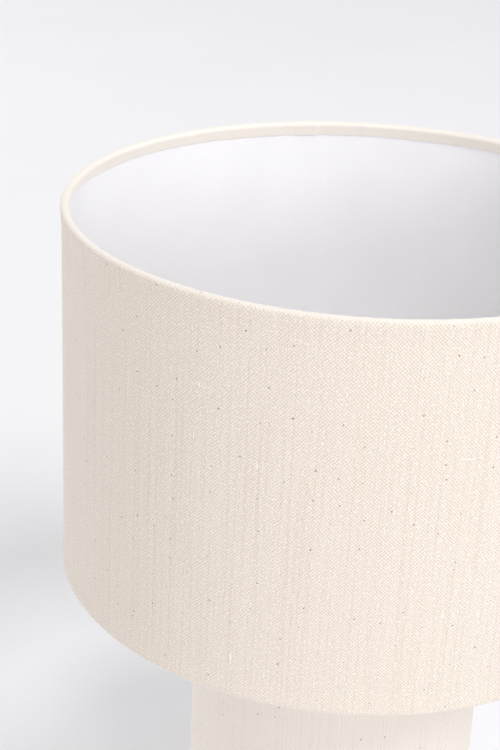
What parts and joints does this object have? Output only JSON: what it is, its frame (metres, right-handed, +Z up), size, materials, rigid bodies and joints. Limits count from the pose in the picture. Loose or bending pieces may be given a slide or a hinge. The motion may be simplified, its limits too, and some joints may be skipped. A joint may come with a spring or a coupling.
{
  "type": "table lamp",
  "caption": "Table lamp: a straight drum shade of natural woven cloth over a matching cloth-covered cylindrical column, with screw lampholder, turn-knob switch and bulb.",
  "frame": {"origin": "on the lamp's axis at the underside of the felt pad", "axes": "+Z up along the lamp's axis, -Y towards the switch knob at the front, +Y towards the cord gland at the back, +X to the right seen from the front"},
  "size_m": [0.3498, 0.35, 0.465],
  "materials": {
    "natural_cloth": "unbleached plain weave, matt",
    "shade_liner": "smooth matt white sheet",
    "white_wire": "white powder coat",
    "board_tube": "spiral-wound grey board",
    "fibreboard": "sawn medium-density fibreboard",
    "softwood": "planed softwood",
    "mild_steel": "hot-rolled, oiled",
    "zinc_steel": "bright zinc plate",
    "felt": "pressed wool felt",
    "holder_plastic": "moulded white thermoplastic, satin",
    "switch_plastic": "moulded phenolic",
    "holder_ceramic": "white glaze",
    "brass": "turned and pressed, plain",
    "lamp_cap": "nickel-bright rolled sheet",
    "diffuser": "frosted translucent polycarbonate",
    "circuit_board": "white solder mask",
    "led_phosphor": "yellow phosphor gel"
  },
  "bodies": {
    "lamp_base": {"felt_pad": "felt", "bottom_board": "fibreboard", "bottom_screws": "zinc_steel", "fixing_blocks": "softwood", "ballast_plate": "mild_steel", "ballast_screws": "zinc_steel", "column_core": "board_tube", "column_fabric": "natural_cloth", "cord_gland": "holder_plastic", "gland_nut": "holder_plastic", "top_board": "fibreboard", "top_cloth": "natural_cloth", "nipple_nut": "zinc_steel", "nipple_washer": "zinc_steel", "threaded_nipple": "zinc_steel", "neck_collar": "brass", "lampholder_cup": "holder_plastic", "grub_screw": "zinc_steel", "lampholder_skirt": "holder_plastic", "ceramic_insert": "holder_ceramic", "screw_shell": "brass", "centre_contact": "brass", "contact_rivets": "brass", "terminals": "brass", "terminal_screws": "zinc_steel", "switch_block": "switch_plastic", "switch_bush": "brass", "switch_nut": "zinc_steel"},
    "knob": {"switch_shaft": "zinc_steel", "switch_knob": "holder_plastic"},
    "shade": {"shade_fabric": "natural_cloth", "shade_liner": "shade_liner", "bottom_ring": "white_wire", "top_ring": "white_wire", "spider_arms": "white_wire", "fitter_ring": "white_wire"},
    "clamp_ring": {"shade_ring": "holder_plastic"},
    "bulb": {"bulb_contact": "brass", "bulb_insulator": "switch_plastic", "bulb_cap": "lamp_cap", "bulb_neck": "holder_plastic", "driver_board": "circuit_board", "led_plate": "lamp_cap", "led_chips": "led_phosphor", "bulb_diffuser": "diffuser"}
  },
  "joints": [
    {"name": "switch_turn", "type": "hinge", "parent": "lamp_base", "child": "knob", "pos_m": [0, -0.034, 0.2653], "axis": [0, -1, 0], "continuous": true},
    {"name": "shade_lift", "type": "slide", "parent": "lamp_base", "child": "shade", "axis": [0, 0, 1], "range_m": [0, 0.16]},
    {"name": "ring_turn", "type": "hinge", "parent": "shade", "child": "clamp_ring", "pos_m": [0, 0, 0.2808], "axis": [0, 0, 1], "continuous": true},
    {"name": "bulb_out", "type": "slide", "parent": "lamp_base", "child": "bulb", "axis": [0, 0, 1], "range_m": [0, 0.185]}
  ]
}
